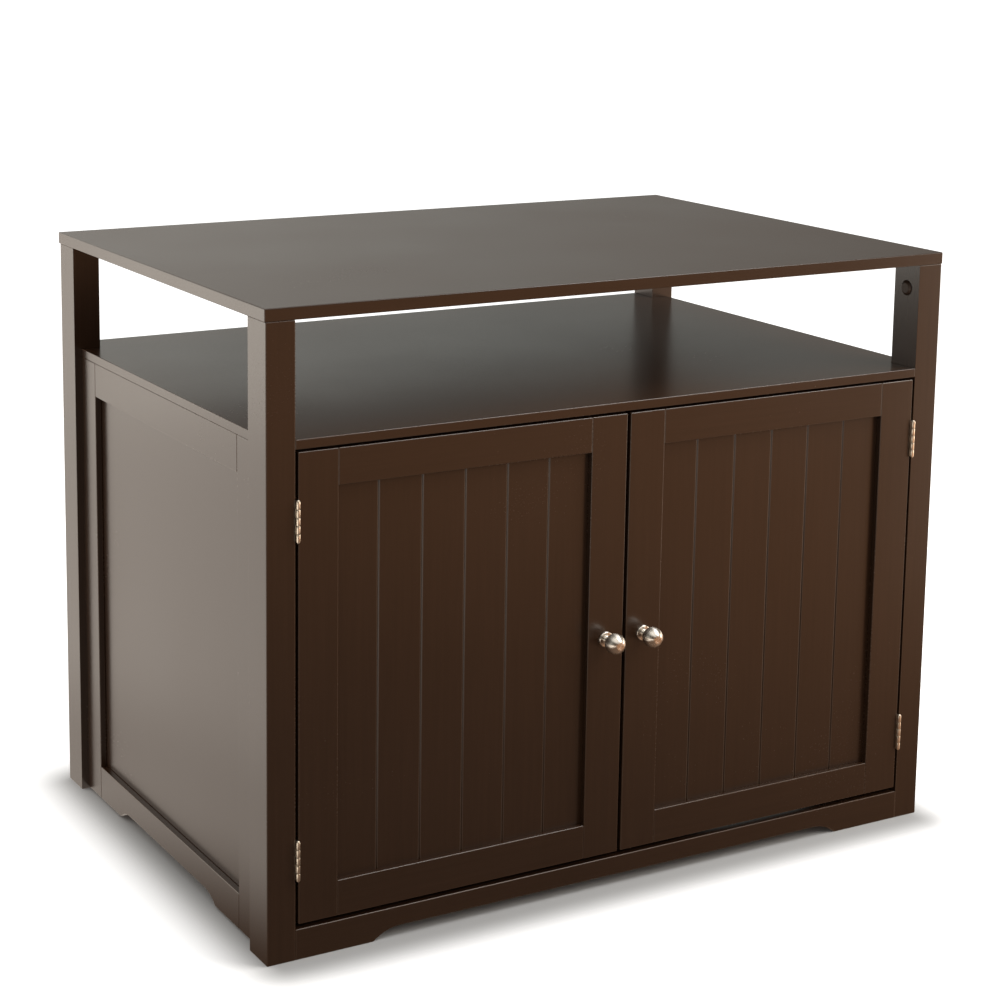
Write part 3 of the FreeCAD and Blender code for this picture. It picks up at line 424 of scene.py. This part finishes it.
# The floor as glossy rays see it: a dark tone, and glows that fade in along an axis
# between two distances in metres.
FLOOR_GLOSS = (0.180, 0.120, 0.085)
FLOOR_GLOWS = (
    ((-0.94, 0.34, 0), 0.28, 0.48, (1.00, 0.93, 0.84)),
    ((-0.94, 0.34, 0), 0.55, 0.80, (0.42, 0.39, 0.35)),
    ((0.93, -0.37, 0), 0.00, 1.60, (0.62, 0.28, 0.12)),
)
# A last glow lies on the floor where both of its shares are up, in front on the right.
CORNER_COLOUR = (1.20, 1.10, 0.95)
CORNER_RIGHT = ((0.752, 0.660, 0), 0.17, 0.33)
CORNER_AHEAD = ((0, -1, 0), 0.10, 0.50)
# The floor as the camera sees it: half the floor's width, half the cabinet's footprint,
# and how far from the footprint the contact shadow painted into its colour and the
# glowing lift to white reach. Other matt rays bounce off BOUNCE_TONE.
FLOOR_HALF = 30.0
FOOTPRINT_HALF = (0.385, 0.265, 0)
CONTACT_REACH, CONTACT_SHADOW_TONE, FLOOR_TONE = 0.05, 0.52, 0.86
LIFT_REACH, LIFT_LEVEL = 0.085, 0.78
BOUNCE_TONE = 0.32


def vector_math(tree, operation, first, second=None):
    """A vector node on a linked socket and, if there is one, a constant."""
    node = tree.nodes.new("ShaderNodeVectorMath")
    node.operation = operation
    tree.links.new(first, node.inputs[0])
    if second is not None:
        node.inputs[1].default_value = second
    return node


def combined(tree, operation, first, second):
    """Two linked values through one operation."""
    node = tree.nodes.new("ShaderNodeMath")
    node.operation = operation
    tree.links.new(first, node.inputs[0])
    tree.links.new(second, node.inputs[1])
    return node.outputs["Value"]


def mixed(tree, factor, first, second):
    """The second shader takes the place of the first where the factor is 1."""
    mix = tree.nodes.new("ShaderNodeMixShader")
    tree.links.new(factor, mix.inputs[0])
    tree.links.new(first, mix.inputs[1])
    tree.links.new(second, mix.inputs[2])
    return mix.outputs[0]


def rising(tree, value, start, end, low=0.0, high=1.0):
    """Goes softly from low to high as a value goes from start to end."""
    span = tree.nodes.new("ShaderNodeMapRange")
    span.interpolation_type = "SMOOTHSTEP"
    for socket, number in (("From Min", start), ("From Max", end), ("To Min", low),
                           ("To Max", high)):
        span.inputs[socket].default_value = number
    tree.links.new(value, span.inputs["Value"])
    return span.outputs["Result"]


def along(tree, vector, axis, start, end):
    """A share that comes up softly along an axis."""
    distance = vector_math(tree, "DOT_PRODUCT", vector, axis).outputs["Value"]
    return rising(tree, distance, start, end)


def glow(tree, share, colour, under):
    """A share of a colour, added to the colour under it."""
    total = vector_math(tree, "MULTIPLY_ADD", share, colour)
    tree.links.new(under, total.inputs[2])
    return total.outputs["Vector"]


def mirrored_ray(tree, path):
    """1 for rays that a glossy or clear surface sends on."""
    return combined(tree, "MAXIMUM", path["Is Glossy Ray"], path["Is Transmission Ray"])


def studio_room(tree, direction):
    """The room in a direction: dark in front on the right, bright behind, with two cards."""
    cosine = vector_math(tree, "DOT_PRODUCT", direction, BRIGHT_SIDE).outputs["Value"]
    span = tree.nodes.new("ShaderNodeMapRange")
    span.inputs["From Min"].default_value = -1.0
    span.inputs["From Max"].default_value = 1.0
    tree.links.new(cosine, span.inputs["Value"])
    ramp = tree.nodes.new("ShaderNodeValToRGB")
    set_stops(ramp, ROOM_STOPS)
    tree.links.new(span.outputs["Result"], ramp.inputs["Fac"])
    room = ramp.outputs["Color"]
    for toward, edge, full, colour in CARDS:
        share = along(tree, direction, Vector(toward).normalized(), edge, full)
        room = glow(tree, share, colour, room)
    return room


def make_world():
    """White to the camera, a shaded studio to gloss, and a plain level of light."""
    world = bpy.data.worlds.new("studio")
    bpy.context.scene.world = world
    world.use_nodes = True
    tree = world.node_tree
    out = tree.nodes["World Output"]
    light = tree.nodes["Background"]
    light.inputs["Color"].default_value = PLAIN_TINT
    light.inputs["Strength"].default_value = PLAIN_LEVEL
    room = tree.nodes.new("ShaderNodeBackground")
    direction = tree.nodes.new("ShaderNodeTexCoord").outputs["Generated"]
    tree.links.new(studio_room(tree, direction), room.inputs["Color"])
    room.inputs["Strength"].default_value = ROOM_LEVEL
    white = tree.nodes.new("ShaderNodeBackground")
    white.inputs["Color"].default_value = (1, 1, 1, 1)
    path = tree.nodes.new("ShaderNodeLightPath").outputs
    seen = mixed(tree, mirrored_ray(tree, path), light.outputs[0], room.outputs[0])
    seen = mixed(tree, path["Is Camera Ray"], seen, white.outputs[0])
    tree.links.new(seen, out.inputs["Surface"])


def beyond_footprint(tree, place):
    """How far a point on the floor lies outside the cabinet's footprint."""
    away = vector_math(tree, "ABSOLUTE", place)
    past = vector_math(tree, "SUBTRACT", away.outputs["Vector"], FOOTPRINT_HALF)
    outside = vector_math(tree, "MAXIMUM", past.outputs["Vector"], (0, 0, 0))
    return vector_math(tree, "LENGTH", outside.outputs["Vector"]).outputs["Value"]


def floor_gloss(tree, place):
    """The colour of the floor at a place, as glossy rays see it."""
    shine = tree.nodes.new("ShaderNodeRGB")
    shine.outputs[0].default_value = (*FLOOR_GLOSS, 1)
    gloss = shine.outputs[0]
    for axis, start, end, colour in FLOOR_GLOWS:
        gloss = glow(tree, along(tree, place, axis, start, end), colour, gloss)
    right = along(tree, place, *CORNER_RIGHT)
    ahead = along(tree, place, *CORNER_AHEAD)
    return glow(tree, combined(tree, "MULTIPLY", right, ahead), CORNER_COLOUR, gloss)


def make_floor():
    """A pale floor that keeps the shadow, with a painted contact shadow, and glows out to white.
    """
    mesh = bpy.data.meshes.new("floor")
    square = ((-1, -1), (1, -1), (1, 1), (-1, 1))
    corners = [(x * FLOOR_HALF, y * FLOOR_HALF, 0) for x, y in square]
    mesh.from_pydata(corners, [], [(0, 1, 2, 3)])
    floor = bpy.data.objects.new("floor", mesh)
    bpy.context.scene.collection.objects.link(floor)
    material = bpy.data.materials.new("pale_floor")
    material.use_nodes = True
    tree = material.node_tree
    tree.nodes.remove(tree.nodes["Principled BSDF"])
    out = tree.nodes["Material Output"]
    place = tree.nodes.new("ShaderNodeNewGeometry").outputs["Position"]
    outside = beyond_footprint(tree, place)
    matt = tree.nodes.new("ShaderNodeBsdfDiffuse")
    # Painted contact shadow: the floor's colour darkens towards the cabinet's footprint.
    contact = rising(tree, outside, 0.0, CONTACT_REACH, CONTACT_SHADOW_TONE, FLOOR_TONE)
    tree.links.new(contact, matt.inputs["Color"])
    lift = tree.nodes.new("ShaderNodeEmission")
    outward_lift = rising(tree, outside, 0.0, LIFT_REACH, 0.0, LIFT_LEVEL)
    tree.links.new(outward_lift, lift.inputs["Strength"])
    lifted = tree.nodes.new("ShaderNodeAddShader")
    tree.links.new(matt.outputs[0], lifted.inputs[0])
    tree.links.new(lift.outputs[0], lifted.inputs[1])
    bounce = tree.nodes.new("ShaderNodeBsdfDiffuse")
    bounce.inputs["Color"].default_value = (BOUNCE_TONE, BOUNCE_TONE, BOUNCE_TONE, 1)
    room = tree.nodes.new("ShaderNodeEmission")
    tree.links.new(floor_gloss(tree, place), room.inputs["Color"])
    path = tree.nodes.new("ShaderNodeLightPath").outputs
    seen = mixed(tree, mirrored_ray(tree, path), bounce.outputs[0], room.outputs[0])
    seen = mixed(tree, path["Is Camera Ray"], seen, lifted.outputs[0])
    tree.links.new(seen, out.inputs["Surface"])
    mesh.materials.append(material)


make_world()
make_floor()


# The fit to the photograph's edges: angles in radians, focal length in its pixels.
CAMERA_PLACE = (-1.24747, -2.08527, 0.99428)
CAMERA_TURN = (0.51529, 0.17200, 0.01150)
FOCAL_LENGTH, PHOTO_WIDTH, SENSOR_WIDTH = 2264.42, 1000.0, 36.0
SHIFT_X, SHIFT_Y = 0.05347, -0.20


def make_camera():
    """The photograph's viewpoint: the left front, a little above the top."""
    yaw, pitch, roll = CAMERA_TURN
    forward = Vector((math.sin(yaw) * math.cos(pitch), math.cos(yaw) * math.cos(pitch),
                      -math.sin(pitch)))
    level = Vector((math.cos(yaw), -math.sin(yaw), 0))
    upward = level.cross(forward)
    right = level * math.cos(roll) + upward * math.sin(roll)
    upright = upward * math.cos(roll) - level * math.sin(roll)
    data = bpy.data.cameras.new("camera")
    data.sensor_width = SENSOR_WIDTH
    data.lens = FOCAL_LENGTH * SENSOR_WIDTH / PHOTO_WIDTH
    data.shift_x = SHIFT_X
    data.shift_y = SHIFT_Y
    data.clip_end = 100.0
    camera = bpy.data.objects.new("camera", data)
    turn = Matrix((right, upright, -forward)).transposed().to_4x4()
    camera.matrix_world = Matrix.Translation(CAMERA_PLACE) @ turn
    bpy.context.scene.collection.objects.link(camera)
    bpy.context.scene.camera = camera


make_camera()
bpy.context.scene.view_settings.view_transform = "Standard"
